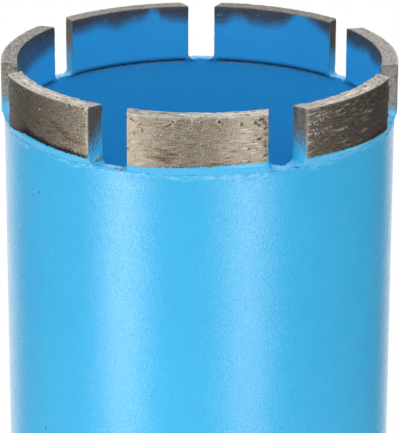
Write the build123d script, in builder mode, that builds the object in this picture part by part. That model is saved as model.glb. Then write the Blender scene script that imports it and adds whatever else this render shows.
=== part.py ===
from build123d import *
from math import asin, degrees, pi, radians, sin
import os

# A wet diamond core bit, standing on the end face of its threaded hub with the cutting crown up.
# All sizes are in millimetres. The origin is the centre of the hub's end face, and +Z runs along
# the bit's axis, from the drill's spindle towards the segments.

# Crown: sintered segments welded on the tube's rim, with water slots between them
crown_diameter = 72.0  # over the outside of the segments
segment_count = 7
slot_width = 7.83  # between two segments, from outer corner to outer corner: leaves them 24 mm long
segment_thickness = 3.0
segment_height = 9.35  # of the abrasive body
backing_height = 1.25  # of the diamond-free backing that carries the weld
outer_overhang = 0.5  # how far the segments stand out past the tube
tip_edge_chamfer = 0.3
flare_width = 1.1  # weld metal spread at each end of a segment's backing
flare_height = 1.2

# Barrel
working_length = 300.0  # from the end plate to the segments' tips
tube_wall = 2.0
weld_bevel = 1.2  # on the tube's back edge

# End plate: a disc with a spigot that centres it in the tube
plate_thickness = 6.0
spigot_height = 4.0
spigot_wall = 5.0
spigot_clearance = 0.1  # radial
bead_rise = 0.5  # of the weld bead round the joint of the plate and the tube
bead_crown = 0.8  # height of the bead's outermost band

# Hub: 1 1/4"-7 UNC female thread, two wrench flats and a water passage into the barrel
hub_length = 38.0  # outside the end plate
wrench_size = 41.0
flat_depth = 2.5
flat_height = 20.0
flat_start = 8.0  # above the hub's end face
hub_edge_chamfer = 1.0
thread_major_diameter = 31.75
thread_pitch = 25.4 / 7
thread_depth = 32.0  # from the hub's end face to the relief groove
mouth_margin = 0.4  # by which the countersink is wider than the thread, on the radius
relief_margin = 0.3  # by which the relief groove is deeper than the thread
relief_width = 3.0
water_bore_diameter = 22.0
pilot_diameter = 36.0  # of the hub's spigot, which goes through the end plate
pilot_clearance = 0.1  # radial
fillet_weld_leg = 4.0

# Worked out from the sizes above
crown_radius = crown_diameter / 2
crown_bore_radius = crown_radius - segment_thickness
tube_radius = crown_radius - outer_overhang
tube_bore_radius = tube_radius - tube_wall
hub_radius = wrench_size / 2 + flat_depth
pilot_radius = pilot_diameter / 2
thread_minor_radius = (thread_major_diameter - 1.0825 * thread_pitch) / 2  # basic minor diameter
mouth_radius = thread_major_diameter / 2 + mouth_margin
relief_radius = thread_major_diameter / 2 + relief_margin
plate_back = hub_length
tube_back = plate_back + plate_thickness
tip_level = tube_back + working_length
tube_rim = tip_level - segment_height - backing_height
segment_pitch = 360 / segment_count
half_slot_angle = asin(slot_width / (2 * crown_radius))
half_segment = crown_radius * sin(pi / segment_count - half_slot_angle)

os.makedirs("parts", exist_ok=True)


def write(piece, name):
    piece.part.label = name
    export_step(piece.part, f"parts/{name}.step")


# Segment: a ring of the crown's cross-section, cut to the segment's outline as seen from outside.
# The backing tapers from the crown's outside to the tube's, and weld metal flares at its ends.
with BuildPart() as segment:
    with BuildSketch(Plane.XZ):
        with BuildLine():
            Polyline(
                (crown_bore_radius, tube_rim),
                (tube_radius, tube_rim),
                (crown_radius, tube_rim + backing_height),
                (crown_radius, tip_level),
                (crown_bore_radius, tip_level),
                close=True,
            )
        make_face()
    revolve(axis=Axis.Z)
    with BuildSketch(Plane.XZ):
        with BuildLine():
            flare_foot = half_segment + flare_width
            flare_top = tube_rim + flare_height
            Polyline(
                (half_segment, flare_top),
                (half_segment, tip_level),
                (-half_segment, tip_level),
                (-half_segment, flare_top),
            )
            RadiusArc((-half_segment, flare_top), (-flare_foot, tube_rim), 2 * flare_height)
            Line((-flare_foot, tube_rim), (flare_foot, tube_rim))
            RadiusArc((flare_foot, tube_rim), (half_segment, flare_top), 2 * flare_height)
        make_face()
    extrude(amount=crown_radius + 1, mode=Mode.INTERSECT)
    chamfer(segment.faces().sort_by(Axis.Z)[-1].edges(), tip_edge_chamfer)

for number in range(segment_count):
    with BuildPart() as placed_segment:
        add(segment.part, rotation=(0, 0, number * segment_pitch))
    write(placed_segment, f"segment_{number + 1}")

# Barrel tube, with a weld bevel on its back edge
with BuildPart() as barrel_tube:
    with BuildSketch(Plane.XZ):
        with BuildLine():
            Polyline(
                (tube_bore_radius, tube_back),
                (tube_radius - weld_bevel, tube_back),
                (tube_radius, tube_back + weld_bevel),
                (tube_radius, tube_rim),
                (tube_bore_radius, tube_rim),
                close=True,
            )
        make_face()
    revolve(axis=Axis.Z)
write(barrel_tube, "barrel_tube")

# End plate, with its spigot inside the tube and the weld bead that fills the tube's bevel
with BuildPart() as end_plate:
    spigot_radius = tube_bore_radius - spigot_clearance
    spigot_bore_radius = spigot_radius - spigot_wall
    plate_bore_radius = pilot_radius + pilot_clearance
    with BuildSketch(Plane.XZ):
        with BuildLine():
            Polyline(
                (tube_radius, tube_back - weld_bevel),
                (tube_radius, plate_back),
                (plate_bore_radius, plate_back),
                (plate_bore_radius, tube_back),
                (spigot_bore_radius, tube_back),
                (spigot_bore_radius, tube_back + spigot_height),
                (spigot_radius, tube_back + spigot_height),
                (spigot_radius, tube_back),
                (tube_radius - weld_bevel, tube_back),
                (tube_radius, tube_back + weld_bevel),
                (tube_radius + bead_rise, tube_back + bead_crown / 2),
                (tube_radius + bead_rise, tube_back - bead_crown / 2),
                close=True,
            )
        make_face()
    revolve(axis=Axis.Z)
write(end_plate, "end_plate")

# Hub: turned outside and bored through, with a fillet weld against the end plate
with BuildPart() as threaded_hub:
    with BuildSketch(Plane.XZ):
        with BuildLine():
            water_bore_radius = water_bore_diameter / 2
            relief_end = thread_depth + relief_width
            Polyline(
                (hub_radius, plate_back - fillet_weld_leg),
                (hub_radius, hub_edge_chamfer),
                (hub_radius - hub_edge_chamfer, 0),
                (mouth_radius, 0),
                (thread_minor_radius, mouth_radius - thread_minor_radius),
                (thread_minor_radius, thread_depth),
                (relief_radius, thread_depth),
                (relief_radius, relief_end),
                (water_bore_radius, relief_end),
                (water_bore_radius, tube_back),
                (pilot_radius, tube_back),
                (pilot_radius, plate_back),
                (hub_radius + fillet_weld_leg, plate_back),
                close=True,
            )
        make_face()
    revolve(axis=Axis.Z)
    with Locations(
        (0, wrench_size / 2, flat_start),
        (0, -wrench_size / 2 - 2 * flat_depth, flat_start),
    ):
        Box(
            2 * hub_radius,
            2 * flat_depth,
            flat_height,
            align=(Align.CENTER, Align.MIN, Align.MIN),
            mode=Mode.SUBTRACT,
        )
write(threaded_hub, "threaded_hub")

print(f"segment length {2 * half_segment:.2f}, slot {degrees(2 * half_slot_angle):.2f} deg,"
      f" overall length {tip_level:.1f}")
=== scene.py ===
import math
from dataclasses import dataclass

import bmesh
import bpy
import numpy as np
from mathutils import Matrix, Vector


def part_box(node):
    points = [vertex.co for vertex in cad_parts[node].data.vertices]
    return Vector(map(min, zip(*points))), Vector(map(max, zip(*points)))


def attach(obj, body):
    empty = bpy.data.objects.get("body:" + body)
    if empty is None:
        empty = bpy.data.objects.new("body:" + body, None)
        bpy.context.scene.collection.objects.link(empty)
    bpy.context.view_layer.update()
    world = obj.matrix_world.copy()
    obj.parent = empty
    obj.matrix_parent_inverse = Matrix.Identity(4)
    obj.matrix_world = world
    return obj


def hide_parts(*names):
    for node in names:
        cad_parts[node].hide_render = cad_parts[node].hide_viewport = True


# The looks of a wet diamond core bit, built round its CAD frame. Blender works in metres. The
# modelling below is in millimetres, in the CAD frame, and make_piece() turns it into metres.
MM = 0.001

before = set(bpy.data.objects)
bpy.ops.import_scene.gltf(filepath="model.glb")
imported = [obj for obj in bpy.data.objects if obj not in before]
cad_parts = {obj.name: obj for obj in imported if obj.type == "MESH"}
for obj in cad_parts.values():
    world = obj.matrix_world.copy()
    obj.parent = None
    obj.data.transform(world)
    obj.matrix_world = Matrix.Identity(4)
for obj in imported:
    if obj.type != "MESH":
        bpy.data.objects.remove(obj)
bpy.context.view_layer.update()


def box_mm(node):
    """The lowest and highest corner of a CAD node, in millimetres."""
    return [np.array(corner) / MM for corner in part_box(node)]


# ---------------------------------------------------------------- sizes read from the frame
tube_low, tube_high = box_mm("barrel_tube")
segment_low, segment_high = box_mm("segment_1")
plate_low, _ = box_mm("end_plate")

TUBE_RADIUS = tube_high[0]
TUBE_BACK = tube_low[2]
RIM = tube_high[2]
TIP = segment_high[2]
CROWN_RADIUS = -segment_low[1]
PLATE_BACK = plate_low[2]

# ---------------------------------------------------------------- sizes that the boxes don't show
SEGMENT_COUNT = 7
SEGMENT_HALF = 12.0  # half the segment's length
SEGMENT_THICKNESS = 3.0
BACKING_HEIGHT = 1.25
FLARE_WIDTH = segment_high[0] - SEGMENT_HALF
FLARE_HEIGHT = 1.2
TUBE_WALL = 2.0
CROWN_BORE = CROWN_RADIUS - SEGMENT_THICKNESS
TUBE_BORE = TUBE_RADIUS - TUBE_WALL
PITCH_ANGLE = 2 * math.pi / SEGMENT_COUNT


# ---------------------------------------------------------------- noise and small maths
def hashed(ix, iy, iz, seed):
    """A repeatable number from 0 to 1 for each cell of a lattice."""
    h = (ix.astype(np.int64) * 374761393 + iy.astype(np.int64) * 668265263
         + iz.astype(np.int64) * 1274126177 + seed * 974634777)
    h = (h ^ (h >> 13)) * 1274126177
    h = (h ^ (h >> 16)) & 0x7FFFFFFF
    return h / float(0x7FFFFFFF)


def value_noise(x, y=0.0, z=0.0, seed=0):
    """Smooth noise from -1 to 1 at the points (x, y, z), one unit per cell."""
    places = np.broadcast_arrays(*(np.asarray(v, float) for v in (x, y, z)))
    cells = [np.floor(v) for v in places]
    shares = [v - cell for v, cell in zip(places, cells)]
    fx, fy, fz = (f * f * (3 - 2 * f) for f in shares)
    total = np.zeros(places[0].shape)
    for dx, dy, dz in np.ndindex(2, 2, 2):
        weight = (fx if dx else 1 - fx) * (fy if dy else 1 - fy) * (fz if dz else 1 - fz)
        total += weight * hashed(cells[0] + dx, cells[1] + dy, cells[2] + dz, seed)
    return 2 * total - 1


def fractal(x, y=0.0, z=0.0, seed=0):
    """Three octaves of noise from -1 to 1, each twice as fine and half as strong."""
    total = 0.0
    for octave in range(3):
        finer = (np.asarray(v) * 2.0 ** octave for v in (x, y, z))
        total = total + 0.5 ** octave * value_noise(*finer, seed + octave)
    return total / (1 + 0.5 + 0.25)


def step(low, high, value):
    """0 below low, 1 above high, and smooth between. Turned round where low is above high."""
    t = np.clip((np.asarray(value, float) - low) / (high - low), 0, 1)
    return t * t * (3 - 2 * t)


def bump(distance, width):
    """1 in the middle, falling smoothly to 0 at about twice the width."""
    return np.exp(-(distance / width) ** 2)


def by_side(u, pair):
    """The first of a pair left of a segment's middle, and the second right of it."""
    return np.where(u < 0, pair[0], pair[1])


def smoothed(values, sigma, around=False):
    """A Gaussian blur, sigma in samples. A closed loop is blurred round where its two ends meet."""
    reach = int(math.ceil(3 * sigma))
    offsets = np.arange(-reach, reach + 1)
    weights = np.exp(-0.5 * (offsets / sigma) ** 2)
    result = np.zeros_like(values)
    for offset, weight in zip(offsets, weights / weights.sum()):
        place = np.arange(len(values)) + offset
        place = place % len(values) if around else np.clip(place, 0, len(values) - 1)
        result += weight * values[place]
    return result


# ---------------------------------------------------------------- pieces from grids of points
SHARP_ANGLE = math.radians(62)


def grid_normals(points):
    """The outward normals of a grid of points[row, column, xyz] whose columns run round."""
    along = np.roll(points, -1, 1) - np.roll(points, 1, 1)
    normals = np.cross(along, np.gradient(points, axis=0))
    return normals / np.maximum(np.linalg.norm(normals, axis=2, keepdims=True), 1e-9)


def new_object(name, data):
    made = bpy.data.objects.new(name, data)
    bpy.context.scene.collection.objects.link(made)
    return made


def weld_points(mesh, distance):
    """Joins points of a mesh that are closer than a distance in metres."""
    work = bmesh.new()
    work.from_mesh(mesh)
    bmesh.ops.remove_doubles(work, verts=work.verts, dist=distance)
    work.to_mesh(mesh)
    work.free()


def make_piece(name, node, materials, points, fields=None, closed_rows=False, weld=0.0):
    """A piece of quads from points[row, column, xyz] in millimetres, whose columns run round. It
    stands in for a CAD node. Each of fields becomes a named attribute of the points."""
    rows, columns, _ = points.shape
    index = np.arange(rows * columns).reshape(rows, columns)
    if closed_rows:
        index = np.vstack([index, index[:1]])
    further = np.roll(index, -1, 1)
    quads = np.stack([index[:-1], further[:-1], further[1:], index[1:]], -1).reshape(-1, 4)
    mesh = bpy.data.meshes.new(name)
    mesh.vertices.add(rows * columns)
    mesh.vertices.foreach_set("co", (points * MM).astype(np.float32).ravel())
    mesh.loops.add(quads.size)
    mesh.loops.foreach_set("vertex_index", quads.astype(np.int32).ravel())
    mesh.polygons.add(len(quads))
    mesh.polygons.foreach_set("loop_start", np.arange(0, quads.size, 4, dtype=np.int32))
    mesh.polygons.foreach_set("loop_total", np.full(len(quads), 4, np.int32))
    mesh.update(calc_edges=True)
    for field, values in (fields or {}).items():
        kind, key = ("FLOAT_VECTOR", "vector") if np.ndim(values) == 3 else ("FLOAT", "value")
        data = mesh.attributes.new(field, kind, "POINT").data
        data.foreach_set(key, np.asarray(values, np.float32).ravel())
    if weld:
        weld_points(mesh, weld * MM)
    mesh.shade_smooth()
    mesh.set_sharp_from_angle(angle=SHARP_ANGLE)
    for material in materials:
        mesh.materials.append(material)
    piece = new_object(name, mesh)
    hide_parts(node)
    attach(piece, "root")
    return piece


# ---------------------------------------------------------------- nodes
class Value:
    """What one node gives to others. Numbers can be added, subtracted and multiplied."""

    def __init__(self, nodes, socket):
        self.nodes = nodes
        self.socket = socket

    def __add__(self, other):
        return self.nodes.maths("ADD", self, other)

    def __mul__(self, other):
        return self.nodes.maths("MULTIPLY", self, other)

    def __sub__(self, other):
        return self.nodes.maths("SUBTRACT", self, other)

    def __rsub__(self, other):
        return self.nodes.maths("SUBTRACT", other, self)

    __radd__ = __add__
    __rmul__ = __mul__

    def at_least(self, other):
        return self.nodes.maths("MAXIMUM", self, other)

    def ramp(self, low, high, to_low=0.0, to_high=1.0):
        """to_low up to low, to_high from high on, and smooth between."""
        return self.nodes.add("MapRange", {
            "Value": self, "From Min": low, "From Max": high, "To Min": to_low,
            "To Max": to_high}, interpolation_type="SMOOTHSTEP")

    def scaled(self, x, y, z):
        return self.nodes.add("VectorMath", {0: self, 1: (x, y, z)}, operation="MULTIPLY")


class Nodes:
    """The node tree of a material or the world, with a short call for each kind of node."""

    def __init__(self, owner):
        owner.use_nodes = True
        self.owner = owner
        self.tree = owner.node_tree

    def put(self, socket, value):
        if isinstance(value, Value):
            self.tree.links.new(value.socket, socket)
        elif socket.type == "RGBA":
            socket.default_value = (*value, 1)
        else:
            socket.default_value = value

    def set(self, node, inputs):
        for key, value in inputs.items():
            self.put(node.inputs[key], value)

    def add(self, kind, inputs, out=0, **settings):
        """One output of a new node."""
        made = self.tree.nodes.new("ShaderNode" + kind)
        for key, value in settings.items():
            setattr(made, key, value)
        self.set(made, inputs)
        return Value(self, made.outputs[out])

    def existing(self, name, inputs):
        """The output of a node that the tree starts with."""
        self.set(self.tree.nodes[name], inputs)
        return Value(self, self.tree.nodes[name].outputs[0])

    def attribute(self, name, out="Fac"):
        return self.add("Attribute", {}, out, attribute_name=name)

    def place(self):
        """The place on the object, in the CAD frame, in metres."""
        return self.add("TexCoord", {}, "Object")

    def noise(self, vector, scale, detail=3.0, roughness=0.5):
        return self.add("TexNoise", {"Vector": vector, "Scale": scale, "Detail": detail,
                                     "Roughness": roughness}, "Fac")

    def maths(self, operation, a, b=0.0):
        return self.add("Math", {0: a, 1: b}, operation=operation)

    def blend(self, share, first, second):
        """A number between two, first where share is 0."""
        return self.add("Mix", {0: share, 2: first, 3: second}, data_type="FLOAT")

    def mix(self, share, first, second):
        """A colour between two, first where share is 0."""
        return self.add("Mix", {0: share, 6: first, 7: second}, 2, data_type="RGBA")

    def layered(self, colour, *layers):
        """A colour with others over it, each given by its share and itself."""
        for share, over in layers:
            colour = self.mix(share, colour, over)
        return colour

    def bumped(self, height, distance_mm, strength):
        return self.add("Bump", {"Height": height, "Distance": distance_mm * MM,
                                 "Strength": strength}, "Normal")

    def rays(self, kind):
        return self.add("LightPath", {}, f"Is {kind} Ray")

    def seen(self):
        """1 for what the camera sees directly or through glass."""
        return self.rays("Camera").at_least(self.rays("Transmission"))

    def show(self, output, share, first, second):
        """Puts a mix of two shaders on the output, first where share is 0."""
        mixed = self.add("MixShader", {0: share, 1: first, 2: second})
        self.put(self.tree.nodes[output].inputs["Surface"], mixed)


class Material(Nodes):
    def __init__(self, name):
        super().__init__(bpy.data.materials.new(name))

    def finish(self, inputs):
        """The material, with these values or nodes as its surface's inputs."""
        self.existing("Principled BSDF", inputs)
        return self.owner


# ---------------------------------------------------------------- materials
# Colours, as linear light
PAINT_BLUE = (0.043, 0.432, 0.750)
PAINT_DEEP = (0.033, 0.395, 0.710)
# Painted bounce light: the paint inside, lighter and bluer
PAINT_INNER_BOUNCE = (0.046, 0.488, 0.970)
PAINT_SPECK = (0.015, 0.05, 0.09)
# Dark spots on the rim, and painted shade in the crease under the segments
PAINT_DARKENING = (0.030, 0.055, 0.075)
# Bare chips, and the light line on the rim's inner edge, worn paint with painted highlight
PAINT_CHIP = (0.60, 0.66, 0.70)
# Painted highlight along the weld
PAINT_WELD_HIGHLIGHT = (0.36, 0.66, 0.84)
# Painted shade: the near-black line in the crease where the segments overhang the tube's bore
CREASE_SHADE_COLOUR = (0.004, 0.028, 0.055)
BOND_GREY = (0.316, 0.268, 0.209)
BOND_BROWN = (0.237, 0.196, 0.144)
BOND_LIGHT = (0.60, 0.535, 0.44)
BOND_SHADE = (0.075, 0.062, 0.045)
BOND_RAW = (0.63, 0.58, 0.53)
BOND_SOOT = (0.052, 0.045, 0.036)
BOND_PIT = (0.030, 0.031, 0.028)
# Light of bare chips and rubbed edges, and of painted highlights
BOND_WEAR_AND_HIGHLIGHT = (0.80, 0.76, 0.69)
BLACK = (0.0, 0.0, 0.0)
SCORCH = (0.016, 0.014, 0.010)
RUST = (0.075, 0.043, 0.021)
RUST_LIGHT = (0.17, 0.098, 0.045)
STEEL = (0.46, 0.45, 0.43)
STEEL_STAIN = (0.33, 0.31, 0.28)

PAINT_IOR = 1.55
GRAIN_HEIGHT = 0.035  # of the paint and the bond, in millimetres
CREASE_SHADE_SHARE = 0.80  # how much the painted shade in the crease under the segments covers


def paint_colour(shader, place):
    """The sprayed paint's colour: grainy, lighter and bluer inside as painted bounce light, with a
    few dark specks.
    """
    cloud = shader.noise(place, 60, 4).ramp(0.35, 0.65)
    grain = shader.noise(place, 4800, 1).ramp(0.3, 0.7)
    specks = shader.add("TexVoronoi", {"Vector": place, "Scale": 260}, "Distance")
    some = shader.noise(place, 60, 1).ramp(0.63, 0.67)
    return shader.layered(
        PAINT_DEEP,
        (shader.blend(0.7, cloud, grain), PAINT_BLUE),
        # painted bounce light inside
        (shader.attribute("inner"), PAINT_INNER_BOUNCE),
        (specks.ramp(0.04, 0.07, 1, 0) * some, PAINT_SPECK))


def paint_grain(shader, place):
    """The height of the paint's fine orange peel."""
    return shader.noise(place, 1300, 1) * 0.5 + shader.noise(place, 5400, 0) * 1.5


def paint_material():
    """Sprayed blue paint, over rough welds near the rim, chipped and darkened on the rim, with
    painted shade in the crease under the segments and painted highlights along the weld.
    """
    shader = Material("light_blue_paint")
    place = shader.place()
    bare, dark_spots_and_shade, weld, pale, crease_shade = map(shader.attribute, ("bare", "dark_spots_and_shade", "weld", "pale", "crease_shade"))
    grit = shader.noise(place, 2400, 2)
    spatter = shader.noise(place.scaled(1, 1, 2.2), 900, 4, 0.65)
    colour = shader.layered(
        paint_colour(shader, place),
        # dark spots on the rim, and painted shade in the crease
        ((dark_spots_and_shade + grit).ramp(0.75, 1.15, 0, 0.85), PAINT_DARKENING),
        # bare chips, and the rim's inner edge: worn paint with painted highlight
        ((bare + grit).ramp(0.8, 1.1), PAINT_CHIP),
        # painted highlights along the weld
        (pale * spatter.ramp(0.32, 0.62) * 0.55, PAINT_WELD_HIGHLIGHT),
        # painted shade in the crease under the segments
        (crease_shade * CREASE_SHADE_SHARE, CREASE_SHADE_COLOUR))
    height = paint_grain(shader, place) + weld * spatter * 1.6
    grainy = shader.bumped(height, GRAIN_HEIGHT, 0.75)
    return shader.finish({
        "Base Color": colour,
        "Roughness": shader.noise(place, 220).ramp(0.3, 0.7, 0.21, 0.29),
        "IOR": PAINT_IOR,
        "Specular IOR Level": 0.3,
        "Coat Weight": 0.6,
        "Coat Roughness": 0.12,
        "Normal": grainy,
        "Coat Normal": grainy})


def segment_material():
    """Sintered metal bond, ground outside, with the paint that runs up from the tube over it. Its
    faces carry painted shading, painted shade in pits and along the inside foot, and painted
    highlights.
    """
    shader = Material("sintered_bond")
    place = shader.place()
    grain = shader.attribute("grain", "Vector")  # along, across, and the segment: millimetres
    fine = shader.attribute("fine", "Vector")  # the same, for the finest grain
    paint, mist, dark, rust, pit, worn, scorch, tone, raw, rough, crease_shade = map(
        shader.attribute, ("paint", "mist", "dark", "rust", "pit", "worn", "scorch", "tone",
                           "raw", "rough", "crease_shade"))
    speckle, grit, scratch, stroke, blotch, patch, teeth = (
        shader.noise(vector.scaled(along, across, 1), 1, detail, roughness)
        for vector, along, across, detail, roughness in (
            (fine, 4.4, 6.0, 1, 0.6), (fine, 5.6, 5.6, 1, 0.6), (grain, 0.42, 5.0, 1, 0.5),
            (grain, 0.55, 3.4, 3, 0.65), (grain, 0.3, 0.8, 3, 0.5), (grain, 1.1, 1.4, 3, 0.6),
            (grain, 3.2, 1.0, 2, 0.5)))
    stroke = rough * (stroke - 0.5) + 0.5
    metal = shader.layered(
        BOND_BROWN,
        (stroke.ramp(0.38, 0.60), BOND_GREY),
        (blotch.ramp(0.40, 0.65, 0, 0.15), BOND_LIGHT),
        (raw * 0.8, BOND_RAW),
        (raw * patch.ramp(0.50, 0.36, 0, 0.70), BOND_SHADE),
        (speckle.ramp(0.50, 0.66, 0, 0.50), BOND_LIGHT),
        (speckle.ramp(0.49, 0.33, 0, 0.55), BOND_SHADE),
        (scratch.ramp(0.60, 0.70, 0, 0.34), BOND_LIGHT),
        (scratch.ramp(0.38, 0.28, 0, 0.46), BOND_SHADE),
        (stroke.ramp(0.60, 0.74, 0, 0.42), BOND_LIGHT),
        (stroke.ramp(0.42, 0.30, 0, 0.66), BOND_SHADE))
    broken = rust.ramp(0.0, 0.6) * stroke.ramp(0.70, 0.50) * speckle.ramp(0.35, 0.6, 1, 0.5)
    burnt = (scorch + speckle.ramp(0.3, 0.7, 0.25, -0.25)).ramp(0.15, 0.75, 0, 0.93)
    metal = shader.layered(
        # painted shading: each face darkened towards black as light falls on it
        shader.mix(tone, BLACK, metal),
        (broken, shader.mix(rust.ramp(0.5, 1.0), RUST_LIGHT, RUST)),
        (dark * grit.ramp(0.3, 0.7, 1, 0.7), BOND_SOOT),
        (burnt, SCORCH),
        # bare chips and rubbed edges, and painted highlights
        (worn * 0.8, BOND_WEAR_AND_HIGHLIGHT),
        # painted shade in the pits, and the dark of the cracks, dots and marks
        (pit * 0.88, BOND_PIT))

    # Outside, the paint ends in small teeth. Elsewhere it thins out as a spray does.
    sprayed = mist.ramp(0.0, 0.02)
    tooth = shader.blend(sprayed, teeth.ramp(0.35, 0.65, -0.20, 0.20), 0.0)
    uneven = grit.ramp(0.3, 0.7, -0.26, 0.26) + tooth
    ragged = paint + paint * 4.0 * (1.0 - paint) * uneven
    painted = shader.blend(sprayed, ragged.ramp(0.35, 0.65), ragged.ramp(0.05, 0.95))
    painted = mist.at_least(painted)

    metallic = shader.blend(dark, shader.blend(raw, 0.92, 0.60), 0.55)
    metallic = shader.blend(worn * 0.5, metallic, 0.0)
    bare_roughness = shader.blend(dark, speckle.ramp(0.35, 0.65, 0.32, 0.50), 0.62)
    relief = (speckle + stroke + grit * 0.4 + patch * raw * 3.0) * rough
    height = shader.blend(painted, relief, paint_grain(shader, place))
    return shader.finish({
        # the bond, the paint over it, and painted shade along the inside foot
        "Base Color": shader.layered(
            metal, (painted, paint_colour(shader, place)), (crease_shade * CREASE_SHADE_SHARE, CREASE_SHADE_COLOUR)),
        "Roughness": shader.blend(painted, bare_roughness, 0.30),
        "Metallic": shader.blend(painted, metallic, 0.0),
        "IOR": PAINT_IOR,
        "Normal": shader.bumped(height, GRAIN_HEIGHT, shader.blend(painted, 0.8, 0.35))})


def steel_material():
    """The turned steel of the hub's thread and end face."""
    shader = Material("turned_steel")
    place = shader.place()
    rings = shader.noise(place.scaled(30, 30, 4000), 1)
    return shader.finish({
        "Base Color": shader.mix(shader.noise(place, 90, 4).ramp(0.35, 0.7), STEEL, STEEL_STAIN),
        "Roughness": rings.ramp(0.3, 0.7, 0.25, 0.42),
        "Metallic": 1.0,
        "Normal": shader.bumped(rings, 0.01, 0.5)})


# ---------------------------------------------------------------- diamond segments
POINT_SPACING = 0.125  # of the segments' meshes
EDGE_SOFTNESS = 0.10  # of their worn edges
SOFT_POINTS = EDGE_SOFTNESS / POINT_SPACING
TOP_EDGE_WIDTH = 0.30  # of the strips along the edges that crumble and are rubbed light
UPRIGHT_EDGE_WIDTH = 0.25
GLINT_SIZE = 0.16  # of the small bare chips inside
NOISE_SHIFT = 17.0  # between one segment's place in the material's noise and the next one's
MID_RADIUS = (CROWN_RADIUS + CROWN_BORE) / 2
HALF_THICKNESS = SEGMENT_THICKNESS / 2
MIDDLE_REACH = SEGMENT_HALF - HALF_THICKNESS
BACKING_TOP = RIM + BACKING_HEIGHT


def plan_loop():
    """The segment's outline from above, as its tangential place u and its radius, evenly spaced,
    starting at the left end of the outside and running to the right."""
    arc_points = int(round(2 * SEGMENT_HALF / POINT_SPACING))
    end_points = int(round(SEGMENT_THICKNESS / POINT_SPACING))
    along = np.linspace(-SEGMENT_HALF, SEGMENT_HALF, arc_points, endpoint=False)
    across = np.linspace(0, SEGMENT_THICKNESS, end_points, endpoint=False)
    end = np.full(end_points, SEGMENT_HALF)
    u = np.concatenate([along, end, -along, -end])
    radius = np.concatenate([np.full(arc_points, CROWN_RADIUS), CROWN_RADIUS - across,
                             np.full(arc_points, CROWN_BORE), CROWN_BORE + across])
    return smoothed(u, SOFT_POINTS, around=True), smoothed(radius, SOFT_POINTS, around=True)


def side_profile():
    """Rows of the segment's mesh, from its foot up its side and inwards over its top: the height,
    and how far in from the outline towards the middle line, 0 to 1."""
    up = np.linspace(RIM, TIP, int(round((TIP - RIM) / POINT_SPACING)))
    inwards = np.linspace(0, 1, int(round(HALF_THICKNESS / POINT_SPACING)) + 1)[1:]
    height = smoothed(np.concatenate([up, np.full(len(inwards), TIP)]), SOFT_POINTS)
    share = smoothed(np.concatenate([np.zeros(len(up)), inwards]), SOFT_POINTS)
    height[0], share[-1] = RIM, 1.0
    return height, share


def flare(height, scale):
    """How far the weld metal spreads past the segment's end at a height."""
    t = np.clip((height - RIM) / (FLARE_HEIGHT * scale ** 0.5), 0, 1)
    return FLARE_WIDTH * scale * (1 - np.sqrt(np.clip(1 - (1 - t) ** 2, 0, 1)))


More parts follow.
